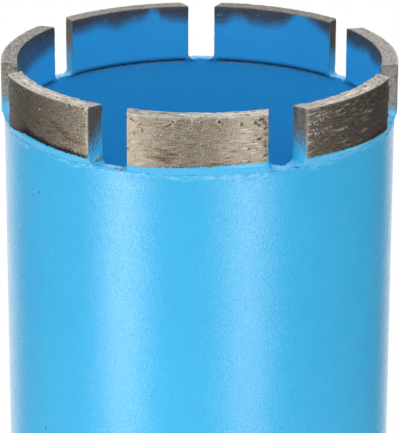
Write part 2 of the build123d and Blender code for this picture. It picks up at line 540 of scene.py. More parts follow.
class SegmentGrid:
    """A segment's points in its own terms: u along it, radius, height; and where each point lies."""

    def __init__(self, number, look):
        self.number = number
        u, radius = plan_loop()
        height, share = (values[:, None] for values in side_profile())
        middle_u = np.clip(u, -MIDDLE_REACH, MIDDLE_REACH)
        self.u = u + (middle_u - u) * share
        self.radius = radius + (MID_RADIUS - radius) * share
        self.u = self.u * np.abs(by_side(self.u, look.reach)) / SEGMENT_HALF
        self.height = np.broadcast_to(height, self.u.shape).copy()
        self.level = self.height - RIM
        self.measure_edges()
        self.taper_and_flare(look.flares)
        self.points = self.in_frame(self.u, self.radius, self.height)
        self.normals = grid_normals(self.points)
        self.sort_faces()

    def measure_edges(self):
        """Shares by which each point lies on an edge: the two long top ones, and the upright ones."""
        down, end = TIP - self.height, np.maximum(SEGMENT_HALF - np.abs(self.u), 0)
        outer, inner = CROWN_RADIUS - self.radius, self.radius - CROWN_BORE
        self.top_outer, self.top_inner, self.top_end = (
            bump(np.hypot(down, away), TOP_EDGE_WIDTH) for away in (outer, inner, end))
        self.upright = sum(bump(np.hypot(end, away), UPRIGHT_EDGE_WIDTH)
                           for away in (outer, inner))

    def taper_and_flare(self, flares):
        """Draws the outside in to the tube over the backing, and spreads the feet of the ends."""
        below = np.clip((BACKING_TOP - self.height) / BACKING_HEIGHT, 0, 1)
        outside = np.clip((self.radius - MID_RADIUS) / HALF_THICKNESS, 0, 1)
        self.radius = self.radius - (CROWN_RADIUS - TUBE_RADIUS) * below * outside
        near_end = step(SEGMENT_HALF - 1.5, SEGMENT_HALF - 0.1, np.abs(self.u))
        corner = step(CROWN_RADIUS + 0.1, CROWN_RADIUS - 1.3, self.radius) * 0.7 + 0.3
        spread = near_end * corner * flare(self.height, by_side(self.u, flares))
        self.u = self.u + np.sign(self.u) * spread

    def in_frame(self, u, radius, height):
        """Points in the CAD frame, in millimetres, from their places on this segment."""
        angle = self.number * PITCH_ANGLE
        forward = np.sqrt(np.maximum(radius ** 2 - u ** 2, 0))
        x = forward * math.sin(angle) + u * math.cos(angle)
        y = -forward * math.cos(angle) + u * math.sin(angle)
        return np.stack([x, y, height], -1)

    def sort_faces(self):
        """Shares, from 0 to 1, by which each point belongs to each face."""
        angle = self.number * PITCH_ANGLE
        plan, facing = self.points[..., :2], self.normals[..., :2]
        out = (facing * plan / np.linalg.norm(plan, axis=-1, keepdims=True)).sum(-1)
        side = (facing * np.array([math.cos(angle), math.sin(angle)])).sum(-1)
        foot = step(2.0, 1.0, self.level)
        self.top = step(0.45, 0.8, self.normals[..., 2]) * (1 - foot)
        self.right_end, self.left_end = (
            np.maximum(step(0.45, 0.8, sign * side), foot * step(11.6, 12.1, sign * self.u))
            * (1 - self.top) for sign in (1, -1))
        self.ends = self.right_end + self.left_end
        self.outside, self.inside = (
            step(0.45, 0.8, sign * out) * (1 - self.top) * (1 - self.ends) for sign in (1, -1))

    def away(self, place):
        """Each point's distance from a place, given as (u, radius, level)."""
        return np.sqrt((self.u - place[0]) ** 2 + (self.radius - place[1]) ** 2
                       + (self.level - place[2]) ** 2)

    def move(self, amount):
        """Moves the points along their normals by an amount in millimetres."""
        self.points = self.points + self.normals * amount[..., None]

    def with_bottom(self, fields):
        """The points and fields with rows that close the foot, from its middle line outwards."""
        foot = self.points[0]
        middle_u = np.clip(self.u[0], -MIDDLE_REACH, MIDDLE_REACH)
        middle = self.in_frame(middle_u, MID_RADIUS, foot[:, 2])
        bottom = np.stack([middle, (middle + foot) / 2])
        return np.concatenate([bottom, self.points]), {
            name: np.concatenate([np.repeat(values[:1], len(bottom), 0), values])
            for name, values in fields.items()}


@dataclass
class Look:
    """What shows on one segment, in millimetres. u runs along the segment from its middle, to the
    right as it is seen from outside, and level runs up from the tube's rim."""
    paint_line: tuple = ((-12, 1.4), (-5, 1.5), (4, 1.35), (12, 1.5))  # (u, level), outside
    inner_line: tuple = ((-12, 7.9), (-4, 8.6), (3, 7.7), (12, 8.3))  # (u, level), inside
    inner_blur: float = 1.3  # half the height of that paint's fading edge
    right_line: tuple = (5.0, 3.5)  # level of the paint's edge on an end: by the bore, outside
    left_line: tuple = (5.2, 3.0)
    end_blur: float = 2.0
    right_soot: float = 0.85  # how dark the bare part of each end is, 0 to 1
    left_soot: float = 0.85
    scorch: tuple = ((-12, 0.2, 0.8), (12, 0.2, 0.8))  # (u, share, height): burnt over the paint
    tone: tuple = ((-12, 0.9), (12, 0.9))  # (u, share): how light the outside is, as painted shading towards black
    top_painted_shading: tuple = ((0, 0.8),)  # the same painted shading for the top
    end_painted_shading: float = 0.9  # and for both ends
    flares: tuple = (1.0, 1.0)  # scale of the weld at the left and right foot
    reach: tuple = (-12.1, 12.1)  # of the left and right end
    wear: tuple = (0.6, 0.6)  # of the left and right upright edges: how far they crumble, and how light they are painted
    nicks: tuple = (0.0, 0.0)  # how deep the left and right upright edges outside are nicked
    arris_highlight: tuple = (0.0, 0.0)  # how strong the painted highlight along those edges is
    pits: tuple = ()  # (u, level, radius), outside
    pit_trail: float = 1.0  # the sign and strength of the ridge that each pit trails, and of its painted highlight
    small_pits: int = 22
    top_pits: tuple = ()  # (u, radius from the axis, radius of the pit)
    small_top_pits: int = 12
    chips: tuple = ()  # (u, half length, depth), out of the top's inner and outer edge by turns
    stains: tuple = ()  # (u, level, half length, half height), brown, outside
    stain_depth: float = 1.0
    highlight_flecks: tuple = ()  # the same, painted highlights
    bare_spots: tuple = ()  # the same, in the paint
    marks: tuple = ()  # the same, dark, inside
    glints: tuple = ()  # (u, level), small bare chips inside
    cracks: tuple = ()  # (u, radius, half length, half width), dark, on the top
    top_highlights: tuple = ()  # the same, painted highlights
    lumps: tuple = ()  # (u, radius, level, size, height): weld spatter
    dots: tuple = ()  # (u, radius, level, size): black specks
    roughness: float = 1.0  # of the top and the grinding marks
    fineness: float = 1.0  # of the speckles outside
    closeness: float = 1.0  # of the ground strokes outside


# The segments from the front one on, counter-clockwise seen from above.
LOOKS = (
    Look(paint_line=((-12.3, 1.05), (-9, 1.2), (-3.6, 1.45), (3, 1.7), (7, 1.95), (12.3, 2)),
        scorch=((-12, .1, .5), (-6, .2, .6), (-3, .42, .6), (2, .5, .6), (8, .5, .6), (9, .1, .5)),
        tone=((-12, .84), (-7, .98), (-4, 1), (3, .87), (12, .8)),
        top_painted_shading=((-12, .8), (-3, .82), (1, .9), (4, 1), (12, 1)), flares=(.35, 1.9),
        reach=(-12.2, 12.25), wear=(.8, .5), nicks=(.05, .14),
        pits=((-9.4, 7.9, .22), (-5, 9, .26), (-4.6, 9.3, .24), (-4.2, 9.7, .26), (-3.4, 10, .26),
            (-1.5, 10.1, .22), (-.5, 9.6, .26), (.8, 9.7, .26), (-.6, 10.1, .2), (1.2, 8.4, .18),
            (-.5, 7.7, .13), (-2.4, 6.7, .17), (-.5, 6, .13), (.8, 5.8, .18), (3.8, 9.8, .32),
            (7.6, 9.2, .24), (11.2, 9.8, .34), (11.5, 9.35, .18), (10.9, 10.15, .14),
            (11.9, 9.1, .16), (10.6, 8.8, .24), (10, 9.3, .26), (10.7, 6.3, .24), (10, 7.1, .12),
            (9.6, 6, .12), (8.9, 4.7, .15), (10.3, 4.4, .12), (4.2, 5.1, .14), (6.1, 6, .11),
            (3.2, 5.4, .1), (-8, 5.1, .15), (-8.4, 4.9, .11), (-10.7, 7.2, .13), (-11, 9.5, .16),
            (-6.8, 10.2, .15), (9, 3.2, .13), (11.9, 3.3, .26), (11.9, 8.2, .24), (-12, 4.3, .18)),
        pit_trail=-.45,
        top_pits=((-8.2, 34.6, .16), (-5.5, 34.9, .2), (-5, 35, .2), (2.2, 34.6, .14),
            (9.5, 34, .16), (10.2, 34.8, .14)),
        chips=((-1.3, .7, -.1), (-.2, .35, .13), (2.9, .6, .13), (4.7, .5, .1), (-3.4, 1.6, .1),
            (3.6, 1.2, .12), (-9.5, .5, .07), (7.4, .3, .08)),
        stains=((-6, 4.6, 1.7, .18), (-4.7, 3.85, 1.9, .24), (-5.8, 3.15, 2.5, .34),
            (-5.5, 2.6, 1.2, .22), (5.4, 3.2, .9, .12), (3.6, 2.2, 2.6, .12), (5.2, 2.65, .8, .1),
            (-5.9, 4.2, .9, .16), (-5.2, 2.2, .7, .16)), stain_depth=1.5,
        highlight_flecks=((-4.3, 7.55, .28, .12), (8, 8.2, 1, .07), (9.2, 7.75, 1.1, .08), (8.6, 7, .8, .07),
            (9.8, 6.6, .9, .08), (7.6, 6.2, .9, .06), (9.4, 5.5, 1.2, .07), (8.2, 4.8, .8, .07),
            (10.6, 4.9, .8, .08), (9.6, 3.9, 1, .08), (11.2, 3.2, .7, .1), (7.6, 3.2, 1, .06),
            (10.9, 8.1, .6, .08), (-11, 5.6, .8, .07)),
        bare_spots=((-8.3, .3, .42, .13), (-6.6, .25, .34, .1)),
        cracks=((-11.2, 34.75, 1.2, .24), (-9.6, 35.2, 1.2, .22), (-6, 34.2, .9, .3),
            (-7.6, 34.3, .7, .18), (-4.2, 34.9, 1, .24), (-3, 35.5, .8, .22),
            (-1.4, 35.75, 1.2, .18), (.8, 35.8, 1.1, .18), (2.6, 35.8, .9, .18),
            (-10.2, 34, .5, .12), (8, 35.5, 1.3, .12), (11.2, 33.6, .4, .14), (4.4, 33.3, .4, .14),
            (6.3, 33.7, .5, .12)),
        top_highlights=((-8.8, 34.6, 1.4, .18), (-2.6, 34.55, .8, .2), (-.6, 35.2, 1.5, .22),
            (2, 33.6, 1.6, .3), (5.6, 34.6, 2, .35), (9.6, 34.5, 1.8, .3))),
    Look(paint_line=((-12.3, 1.55), (-8, 1.45), (-2.4, 1.35), (4, 1.1), (11.4, .8), (12.3, .8)),
        left_line=(5.4, 3.2), end_blur=3.6, left_soot=.62,
        scorch=((-12, 0, .5), (-6, .1, .8), (2, .45, 1.2), (8, .8, 1.9), (12, .85, 2.6)),
        tone=((-12, .76), (-4, .6), (4, .52), (12, .42)),
        top_painted_shading=((-12, .82), (-6, .98), (4, 1), (12, .86)), end_painted_shading=.6, flares=(1.2, 1),
        reach=(-12.2, 12.1), wear=(.6, 1.2), nicks=(0, .34), arris_highlight=(0, 1),
        pits=((-10.2, 10.2, .18), (-10.1, 9.3, .3), (-9.1, 8.8, .22), (-8.3, 8.2, .24),
            (-7.5, 9, .2), (-9.7, 7.9, .2), (-11, 7.6, .22), (-10.4, 6.4, .18), (-10.8, 5.8, .24),
            (-9.2, 5.6, .26), (-7.4, 6.3, .2), (-11.1, 4.3, .18), (-3.6, 8.1, .14),
            (-2.4, 6.6, .24), (-4.5, 8.8, .24), (-3.6, 5.3, .3), (-3.1, 2.9, .2), (3, 6.9, .26),
            (-2.7, 9.5, .2), (-.2, 9.5, .2), (2, 5.9, .2)), pit_trail=-2, small_pits=46,
        chips=((-9, .5, .08), (-4.6, .5, .1), (1.2, .6, .1), (6.5, .9, .12), (10.4, .8, .14)),
        highlight_flecks=((-9, 8.9, .5, .09), (-8.9, 7.9, .5, .09), (-10.2, 7.4, .5, .09),
            (-7.7, 8, .5, .09), (-6.8, 5.7, .8, .08), (2.8, 8.8, .8, .06), (4.6, 7.6, .9, .06),
            (-1.2, 7.2, .9, .06), (7.3, 8.4, .9, .06)),
        cracks=((-8.5, 35.4, .7, .16), (-5.4, 34.6, .6, .16), (-2, 33.9, .5, .18),
            (1.5, 35, .8, .16), (4.6, 34.2, .6, .2), (8, 35.3, 1, .2), (10.6, 34.2, .5, .24),
            (9.6, 35.6, .6, .2), (6.4, 35.7, .9, .14)),
        top_highlights=((-6.5, 35.2, 2, .3), (-1, 34.6, 2, .3), (4, 34.9, 1.6, .3)),
        dots=((-13, 34, .35, .17),), roughness=1.6, fineness=.8, closeness=1.5),
    Look(paint_line=((-12, 1.9), (-6, 1.6), (4, 1.4), (12, 1.6)),
        inner_line=((-12, 8.8), (-6.3, 8.6), (-1.7, 7.3), (2, 7.3), (3.9, 8.3), (6.8, 8),
            (9.2, 7.6), (12, 8)), inner_blur=1.5, left_line=(2.1, 2), end_blur=.8, left_soot=0,
        top_painted_shading=((0, .64),), end_painted_shading=.37, small_top_pits=5),
    Look(inner_line=((-12, 7.8), (-10.3, 8.7), (-8.7, 9.5), (-6.1, 10.9), (-4.4, 10.9),
            (-2.7, 9.3), (-.8, 8.2), (1.5, 7.7), (4.9, 7.6), (6.9, 8.6), (8.5, 8.9), (10.2, 7.5),
            (12, 7.2)), inner_blur=1.6, left_line=(4.8, 4.2), end_blur=2.2, left_soot=.75,
        top_painted_shading=((0, .37),), end_painted_shading=.54,
        marks=((2.1, 6, .1, .32), (.5, 5.7, .09, .5), (.5, 3.9, .04, 1.6), (.9, 3.2, .1, .25),
            (9.4, 5.9, .1, .14), (-2.9, 5.7, .08, .2)),
        glints=((11.4, 8.9), (10.8, 9), (3.8, 9.4))),
    Look(inner_line=((-12, 7.8), (-9.6, 8.1), (-7, 8.5), (-6.4, 9.6), (-5.1, 10.2), (-4.2, 9),
            (-2.4, 8.7), (-.6, 8.5), (1.7, 7.5), (4.6, 8.5), (6.8, 8.8), (9.4, 8), (12, 8.3)),
        inner_blur=1.6, right_line=(5.2, 4.6), end_blur=2.6, right_soot=.7, top_painted_shading=((0, .48),),
        marks=((1.9, 7.7, .14, .2), (1.2, 7.7, .14, .2), (-6.9, 8.2, .2, .22)),
        glints=((-1.8, 9.1), (4.4, 9.3))),
    Look(inner_line=((-12, 6.8), (-9.4, 6.7), (-7, 6.1), (-4.3, 5.7), (0, 5.2), (6, 5), (12, 5)),
        inner_blur=1.9, right_line=(4, 3.4), right_soot=0, top_painted_shading=((0, .57),), end_painted_shading=.4,
        small_pits=40, small_top_pits=110, glints=((0, 9.7), (.8, 7.3), (-10.2, 9.2)),
        roughness=1.6),
    Look(paint_line=((-12.3, .95), (-8, 1.4), (-4.3, 1.8), (0, 1.75), (3.4, 1.5), (8, 1.35),
            (12.3, 1.05)), right_line=(5.4, 2.6), end_blur=4, right_soot=.97,
        scorch=((-12, .3, 1), (-6, .7, 1.9), (-4, 1, 2.2), (2, .9, 1.7), (6, .95, 1.6),
            (12, .9, 1.7)), tone=((-12, .53), (-4, .62), (1, .82), (5, 1), (12, 1)),
        top_painted_shading=((-12, .86), (-7, .96), (-3, 1), (5, 1), (12, .82)), end_painted_shading=.6, flares=(1, .4),
        reach=(-12.3, 12.1), wear=(1.2, .4), nicks=(.22, .05),
        pits=((-11.2, 10.2, .26), (-11.1, 7.3, .22), (-10.7, 9, .3), (-6, 9.4, .24),
            (-4.4, 10, .22), (10.9, 10.2, .26), (8, 10.3, .3), (-8.6, 8, .24), (-9.4, 6.2, .26),
            (-9.8, 4.6, .22), (-7.6, 8.9, .3)), pit_trail=.6, small_pits=30,
        top_pits=((-10.4, 34, .22), (-9.4, 33.6, .2), (-8.2, 34.1, .24), (-4, 33.3, .24),
            (-2.4, 33.3, .22), (-.4, 33.5, .26), (7.4, 35.3, .34), (10.3, 33.5, .24),
            (6.2, 33.6, .2)),
        chips=((-10.5, .6, .12), (-7.5, .5, .16), (-4, .4, .12), (.5, .8, .1), (8, .3, .2),
            (10.5, .5, .1)),
        stains=((5.4, 5.6, 2.2, .55), (6.8, 4.9, 2.2, .55), (4.6, 6.2, 1.6, .36),
            (-4.4, 2.8, 2.2, .8), (0, 5.2, 1.6, .45), (10.3, 3.8, 1.9, .4), (4, 4.3, 1.6, .26),
            (8.4, 4.1, 1.6, .4), (-4.9, 3.8, 1.6, .5)), stain_depth=.75,
        bare_spots=((12.6, .7, .5, .3),),
        cracks=((-11, 35.3, .6, .2), (-9, 34.8, .7, .15), (-6.6, 33.4, .45, .26),
            (-1.9, 33.2, .4, .24), (-3.8, 33.2, .35, .24), (1.5, 35.6, 1.2, .12),
            (4.4, 35, .6, .14), (6.8, 35.4, .5, .3), (6.9, 33.8, .4, .2), (9.2, 33.2, .5, .2)),
        top_highlights=((-7, 34.3, 1.6, .35), (-2, 34.6, 2, .35), (3, 34.3, 2, .3), (8.8, 34.6, 1.6, .35)),
        lumps=((12.1, 33.9, 1, .36, .4), (12.2, 34.5, .8, .34, .36), (12.6, 33.6, .5, .3, .3)),
        roughness=1.1, fineness=.8, closeness=1.4),
)


def ellipses(u, level, places):
    """1 in the middle of each of a list of (u, level, half length, half height), 0 outside them."""
    share = np.zeros(u.shape)
    for place, height, half_length, half_height in places:
        away = np.hypot((u - place) / half_length, (level - height) / half_height)
        share = np.maximum(share, bump(away, 0.8))
    return share


def scatter_pits(seed, count, along, across, size):
    """Random pits: place along, place across and radius. Most are small."""
    random = np.random.default_rng(seed)
    low, high = size
    return [(random.uniform(*along), random.uniform(*across), low + (high - low) * r ** 2)
            for r in random.uniform(0, 1, count)]


def press_pits(along, across, pits, trail, seed):
    """How deep a face's pits go at each point, how dark they are, as painted shade in the hole, and
    how bright the painted highlight on the ridge beside each is. The ridge trails off along the face,
    to the side that the sign of trail gives."""
    random = np.random.default_rng(seed)
    depth, shade, glint = (np.zeros(along.shape) for _ in range(3))
    for place, level, radius in pits:
        tilt = random.uniform(-0.25, 0.25)
        stretch = random.uniform(0.9, 1.6)
        length = radius * (1.0 + random.uniform(1.0, 4.0) * abs(trail))
        du, dv = along - place, across - level
        around = np.arctan2(dv, du)
        lobes = 1 + 0.22 * np.sin(2 * around + 9 * tilt) + 0.16 * np.sin(3 * around + 23 * tilt)
        hole = bump(np.hypot(du / stretch, dv + tilt * du) * lobes, 0.8 * radius)
        side = du * (1 if trail > 0 else -1)
        ridge = np.where(side > 0, bump(side, length), bump(side, 1.1 * radius))
        ridge = ridge * bump(dv - 0.35 * radius, 0.7 * radius) * (1 - hole)
        depth += (0.75 * radius + 0.02) * hole - 0.22 * radius * ridge
        shade = np.maximum(shade, step(0.3, 0.75, hole))
        glint = np.maximum(glint, ridge * min(0.75, abs(trail)))
    return depth, shade, glint


def edge_damage(grid, look, seed):
    """How far the segment's edges have crumbled, in millimetres."""
    u, level, radius = grid.u, grid.level, grid.radius
    worn = 0.5 + 0.5 * fractal(u * 1.4, radius * 0.9, level * 1.4, seed)
    crumbs = np.clip(fractal(u * 3.0, radius * 2.0, level * 3.0, seed + 3), 0, 1)
    amount = (0.05 * worn + 0.16 * crumbs) * (grid.top_outer + grid.top_inner)
    amount = amount + 0.06 * worn * grid.top_end
    amount = amount + (0.04 * worn + 0.12 * crumbs) * grid.upright ** 2 * by_side(u, look.wear)
    nicked = step(-0.1, 0.4, fractal(level * 1.8, seed=seed + 7))
    corner = bump(np.hypot(SEGMENT_HALF + 0.1 - np.abs(u), CROWN_RADIUS - radius), 0.5)
    amount = amount + nicked * corner * by_side(u, look.nicks)
    for number, (place, half_length, depth) in enumerate(look.chips):
        edge = grid.top_outer if number % 2 else grid.top_inner
        amount = amount + depth * bump(u - place, half_length) * edge
    return amount * look.roughness ** 0.5


def face_relief(grid, look, seed):
    """The finish of each face, in millimetres: ground in long strokes outside, rough elsewhere."""
    u, level, radius = grid.u, grid.level, grid.radius
    strokes = (0.010 * value_noise(u * 0.45, level * 2.6, seed=seed)
               + 0.008 * value_noise(u * 1.3, level * 4.0, seed=seed + 1))
    scored = (0.030 * value_noise(u * 0.9, radius * 1.6, seed=seed + 2)
              + 0.045 * fractal(u * 1.5, radius * 1.5, seed=seed + 5))
    raw = 0.030 * fractal(u * 1.9, level * 1.9, radius * 1.9, seed + 3)
    uneven = 0.025 * fractal(u * 0.35, level * 0.4, radius * 0.4, seed + 4)
    ground = (strokes * grid.outside + scored * grid.top) * look.roughness
    return ground + raw * (grid.ends + grid.inside) + uneven


def surface_damage(grid, look, seed):
    """The pits, cracks and lumps of all faces: how far they are sunk, how dark they are, with painted
    shade in the pits, how light they are, with painted highlights beside the pits, on light marks
    outside and on the top, and bare chips inside, and the lumps' own height."""
    u, level, radius = grid.u, grid.level, grid.radius
    along, across, up = (-11.7, 11.7), (CROWN_BORE + 0.3, CROWN_RADIUS - 0.3), (1.8, 10.3)
    outer = [*look.pits, *scatter_pits(seed + 5, look.small_pits, along, up, (0.07, 0.22))]
    top = [*look.top_pits,
           *scatter_pits(seed + 6, look.small_top_pits, along, across, (0.10, 0.26))]
    end = scatter_pits(seed + 7, 8, across, (2, 10.3), (0.07, 0.16))
    depth, pit, glint = press_pits(u, level, outer, look.pit_trail, seed)
    top_depth, top_pit, top_glint = press_pits(u, radius, top, 0.3, seed + 1)
    end_depth, end_pit, _ = press_pits(radius, level, end, 0.2, seed + 2)
    on_top = step(0.2, 0.6, grid.normals[..., 2])
    # Dark cracks and painted highlights on the top, then painted highlights outside.
    cracks, top_highlights = (ellipses(u, radius, places) * on_top for places in (look.cracks, look.top_highlights))
    pit = pit * grid.outside + np.maximum(top_pit * grid.top, cracks) + end_pit * grid.ends
    highlight_flecks = 0.6 * ellipses(u, level, look.highlight_flecks) * (grid.outside > 0.2)
    glint = np.maximum(glint * grid.outside, highlight_flecks) + np.maximum(top_glint * grid.top, top_highlights)
    sunk = depth * grid.outside + top_depth * grid.top + end_depth * grid.ends + 0.16 * cracks
    lump = np.zeros(u.shape)
    for *place, size, high in look.lumps:
        lump = np.maximum(lump, high * bump(grid.away(place), size))
    sunk = sunk - lump * (1 + 0.6 * fractal(u * 4, radius * 4, level * 4, seed + 8))
    for *place, size in look.dots:
        pit = np.maximum(pit, step(1.3 * size, 0.6 * size, grid.away(place)))
    chips = ellipses(u, level, [(*place, GLINT_SIZE, GLINT_SIZE) for place in look.glints])
    glint = np.maximum(glint, 0.4 * step(0.08, 0.25, lump))
    glint = np.maximum(glint, 0.8 * chips * grid.inside)
    return sunk, pit, glint, lump


def paint_edge(level, line, blur):
    """The paint's share, 0 to 1: half at the line's level, and fading by blur above and below."""
    return np.clip(0.5 + (line - level) / (2 * blur), 0, 1)


def along_line(u, places):
    """What a list of (u, value) gives at u."""
    return np.interp(u, *zip(*places))


def paint_cover(grid, look, seed):
    """How much of the paint from the tube reaches each point."""
    u, level, radius = grid.u, grid.level, grid.radius
    outer_line = along_line(u, look.paint_line) + 0.10 * fractal(u * 1.1, seed=seed)
    inner_line = along_line(u, look.inner_line) + 0.32 * fractal(u, level * 0.25, seed=seed + 1)
    cover = (paint_edge(level, outer_line, 0.20) * grid.outside
             + paint_edge(level, inner_line, look.inner_blur) * grid.inside)
    across = np.clip((radius - CROWN_BORE) / SEGMENT_THICKNESS, 0, 1)
    wrapped = step(0.42, 0.12, radius - CROWN_BORE) * step(9.8, 8.6, level) * 0.75
    for share, (by_bore, by_outside) in ((grid.right_end, look.right_line),
                                         (grid.left_end, look.left_line)):
        line = by_bore + (by_outside - by_bore) * across
        line = line + 0.6 * fractal(radius, level * 0.7, seed=seed + 2)
        cover = cover + np.maximum(paint_edge(level, line, look.end_blur), wrapped) * share
    cover = np.clip(cover, 0, 1) * (1 - ellipses(u, level, look.bare_spots))
    return np.maximum(cover, step(0.15, 0.0, level))


def scorch_cover(grid, look, seed):
    """How burnt the outside is, in an uneven band over the paint's edge."""
    u, level = grid.u, grid.level
    line = along_line(u, look.paint_line)
    places, shares, heights = zip(*look.scorch)
    height = np.interp(u, places, heights) * (1 + 0.4 * fractal(u * 0.6, seed=seed))
    return np.interp(u, places, shares) * step(line + height, line + 0.05, level) * grid.outside


def rubbed_and_highlit_edges(grid, look, seed):
    """How light the edges are: rubbed light, and painted highlight along them and along the outside's
    upright corners.
    """
    u = grid.u
    edges = np.clip(0.35 * grid.upright ** 2.5 * by_side(u, look.wear) + 0.12 * grid.top_end
                    + 0.45 * grid.top_outer, 0, 0.8)
    corner = bump(SEGMENT_HALF - 0.35 - np.abs(u), 0.55) * grid.outside
    ragged = step(-0.35, 0.25, fractal(grid.level * 1.4, seed=seed + 9))
    return np.maximum(edges, corner * ragged * by_side(u, look.arris_highlight)) * (1 - grid.inside)


def segment_fields(grid, look, seed, pit, glint, lump):
    """What the material reads at each point."""
    u, level, radius = grid.u, grid.level, grid.radius
    on_end, on_top = grid.ends > 0.5, grid.top > 0.5
    cell = np.full(u.shape, NOISE_SHIFT * grid.number)
    close = 1 + (look.closeness - 1) * (grid.outside > 0.5)
    bare = (1 - glint * grid.inside) * (1 - step(0.05, 0.25, lump))
    bare = bare * (1 - step(0.4, 0.9, pit) * grid.ends)
    on_inner_part = np.clip((CROWN_RADIUS - radius) / SEGMENT_THICKNESS, 0, 1)
    end_mist = np.clip(1 - level / 9.5, 0.02, 1) * (0.04 + 0.16 * on_inner_part)
    marks = ellipses(u, level, look.marks) * grid.inside
    return {
        "grain": np.stack([np.where(on_end, radius, close * u),
                           np.where(on_top, radius, close * level), cell], -1),
        "fine": np.stack([np.where(on_end, 0.66 * radius, look.fineness * u),
                          np.where(on_top, 0.6 * radius, level), cell], -1),
        "paint": paint_cover(grid, look, seed + 30) * bare,
        "mist": (0.05 + 0.17 * step(10.3, 7.4, level)) * grid.inside + end_mist * grid.ends,
        # painted bounce light on the inside
        "inner": grid.inside,
        "dark": np.clip(0.85 * grid.inside + look.right_soot * grid.right_end
                        + look.left_soot * grid.left_end, 0, 1),
        "scorch": scorch_cover(grid, look, seed + 40),
        # painted shading of each face, 1 where none is painted
        "tone": (along_line(u, look.tone) * grid.outside + along_line(u, look.top_painted_shading) * grid.top
                 + look.end_painted_shading * grid.ends + grid.inside),
        "raw": np.clip(grid.top + grid.ends, 0, 1),
        "rough": np.full(u.shape, look.roughness),
        "rust": look.stain_depth * ellipses(u, level, look.stains) * grid.outside,
        "pit": np.clip(pit + marks, 0, 1),
        # bare chips and rubbed edges, and painted highlights beside pits, on light marks, on the top
        # and on edges
        "worn": np.clip(glint + rubbed_and_highlit_edges(grid, look, seed), 0, 1),
        # painted shade along the foot of the inside, where it meets the tube
        "crease_shade": bump(level, 0.46) * grid.inside * step(11.9, 11.3, np.abs(u)),
    }


def make_segment(number, material):
    look = LOOKS[number]
    grid = SegmentGrid(number, look)
    seed = 100 * number
    sunk, pit, glint, lump = surface_damage(grid, look, seed)
    relief = face_relief(grid, look, seed + 10) - sunk - edge_damage(grid, look, seed + 20)
    grid.move(relief * step(0.0, 0.5, grid.level))  # the foot keeps its seat on the tube
    angle = np.arctan2(grid.points[..., 0], -grid.points[..., 1])
    grid.move(weld_ridge(angle, grid.height) * step(0.3, 0.8, grid.outside))
    points, fields = grid.with_bottom(segment_fields(grid, look, seed, pit, glint, lump))
    make_piece(f"diamond_segment_{number + 1}", f"segment_{number + 1}",
               [material], points, fields, weld=0.01)


# ---------------------------------------------------------------- barrel tube
TUBE_COLUMNS = 1300
RIM_SPACING = 0.2
RIM_ZONE = 3.2  # how far down the tube is finely meshed
RIM_SOFTNESS = (0.15, 0.42)  # of its inner and its outer edge
WELD_HEIGHT = 0.17
WELD_LINES = ((0.10, 0.30, 1.0), (0.60, 0.24, 0.8), (-0.35, 0.22, 0.5))  # drop, width, share
CREASE_DEPTH = 0.26

# Small darkened or bare places on the tube's rim: place along the front segment's line, radius, size
RIM_DARK_SPOTS = ((-12.8, 34.2, .40), (-13.0, 34.9, .62), (-14.0, 35.0, .42), (13.0, 34.6, .22),
            (13.5, 35.0, .20), (14.2, 34.9, .20), (17.0, 35.1, .40))
RIM_BARE = ((14.95, 35.4, .16),)

# Painted highlights along the weld, below the segments: the segment's number, the place along it, the
# level above the rim, half the length, half the height, and the strength
WELD_HIGHLIGHTS = (
    (0, -8.0, -.55, 2.6, .30, .5), (0, -4.6, -.50, 2.6, .30, .9), (0, -1.6, -.45, 1.6, .22, .6),
    (0, 1.8, -.35, 2.4, .34, 1.0), (0, 5.6, -.45, 2.4, .32, .8), (0, 9.4, -.6, 2.2, .30, .6),
    (0, 12.2, -.15, .9, .45, .7),
    (6, -10.0, -.35, 1.6, .16, .8), (6, -7.4, -.60, 2.0, .20, 1.0), (6, -4.8, -.75, 1.6, .34, 1.0),
    (6, -3.2, -.35, 1.4, .18, .8), (6, -.6, -.15, 1.5, .14, .7), (6, 2.6, -.05, 1.8, .12, .7),
    (6, 6.0, -.45, 2.0, .30, .9), (6, 8.3, -.75, 1.9, .26, 1.0), (6, 10.8, -.35, 1.4, .24, 1.0),
    (1, -9.6, -.15, 1.9, .32, 1.0), (1, -6.6, -.45, 1.5, .36, 1.0), (1, -2.8, -.45, 1.9, .16, .6),
    (1, .6, -.15, 1.6, .16, .7), (1, 4.2, -.35, 2.2, .20, .9), (1, 7.6, -.1, 2.0, .14, 1.0),
    (2, -6.0, -.3, 3.0, .25, .8), (2, 3.0, -.5, 3.5, .3, .8), (3, -8.0, -.4, 3.0, .3, .8),
    (3, 1.0, -.3, 3.5, .25, .9), (3, 8.5, -.5, 2.5, .3, .7), (4, -5.0, -.3, 3.0, .3, .9),
    (4, 5.5, -.5, 3.5, .25, .8), (5, -3.5, -.4, 4.0, .3, .8), (5, 6.5, -.3, 3.0, .3, .9))


def under_segment(angle, radius, last=SEGMENT_HALF + FLARE_WIDTH, fade=1.4):
    """1 where a segment stands on the tube, up to a distance from its middle line, and 0 in the
    slots between them."""
    away = np.abs((angle + PITCH_ANGLE / 2) % PITCH_ANGLE - PITCH_ANGLE / 2)
    return step(last + fade, last, radius * np.sin(away))


def weld_ridge(angle, height):
    """How far the weld's streaky ridge lines stand out, round the joint of the tube and segments."""
    arc = angle * TUBE_RADIUS
    total = 0.0
    for line, (drop, width, share) in enumerate(WELD_LINES):
        wander = (0.30 * value_noise(arc * 0.35, seed=46 + line)
                  + 0.10 * value_noise(arc * 1.3, seed=56 + line))
        swell = np.clip(0.5 + 1.1 * fractal(arc * 0.55, seed=66 + line), 0, 1)
        lumps = np.clip(0.75 + 0.7 * fractal(arc * 2.2, height * 1.6, seed=76 + line), 0.1, 1.4)
        total = total + share * bump(height - (RIM - drop) - wander, width) * swell * lumps
    return WELD_HEIGHT * total * under_segment(angle, TUBE_RADIUS)


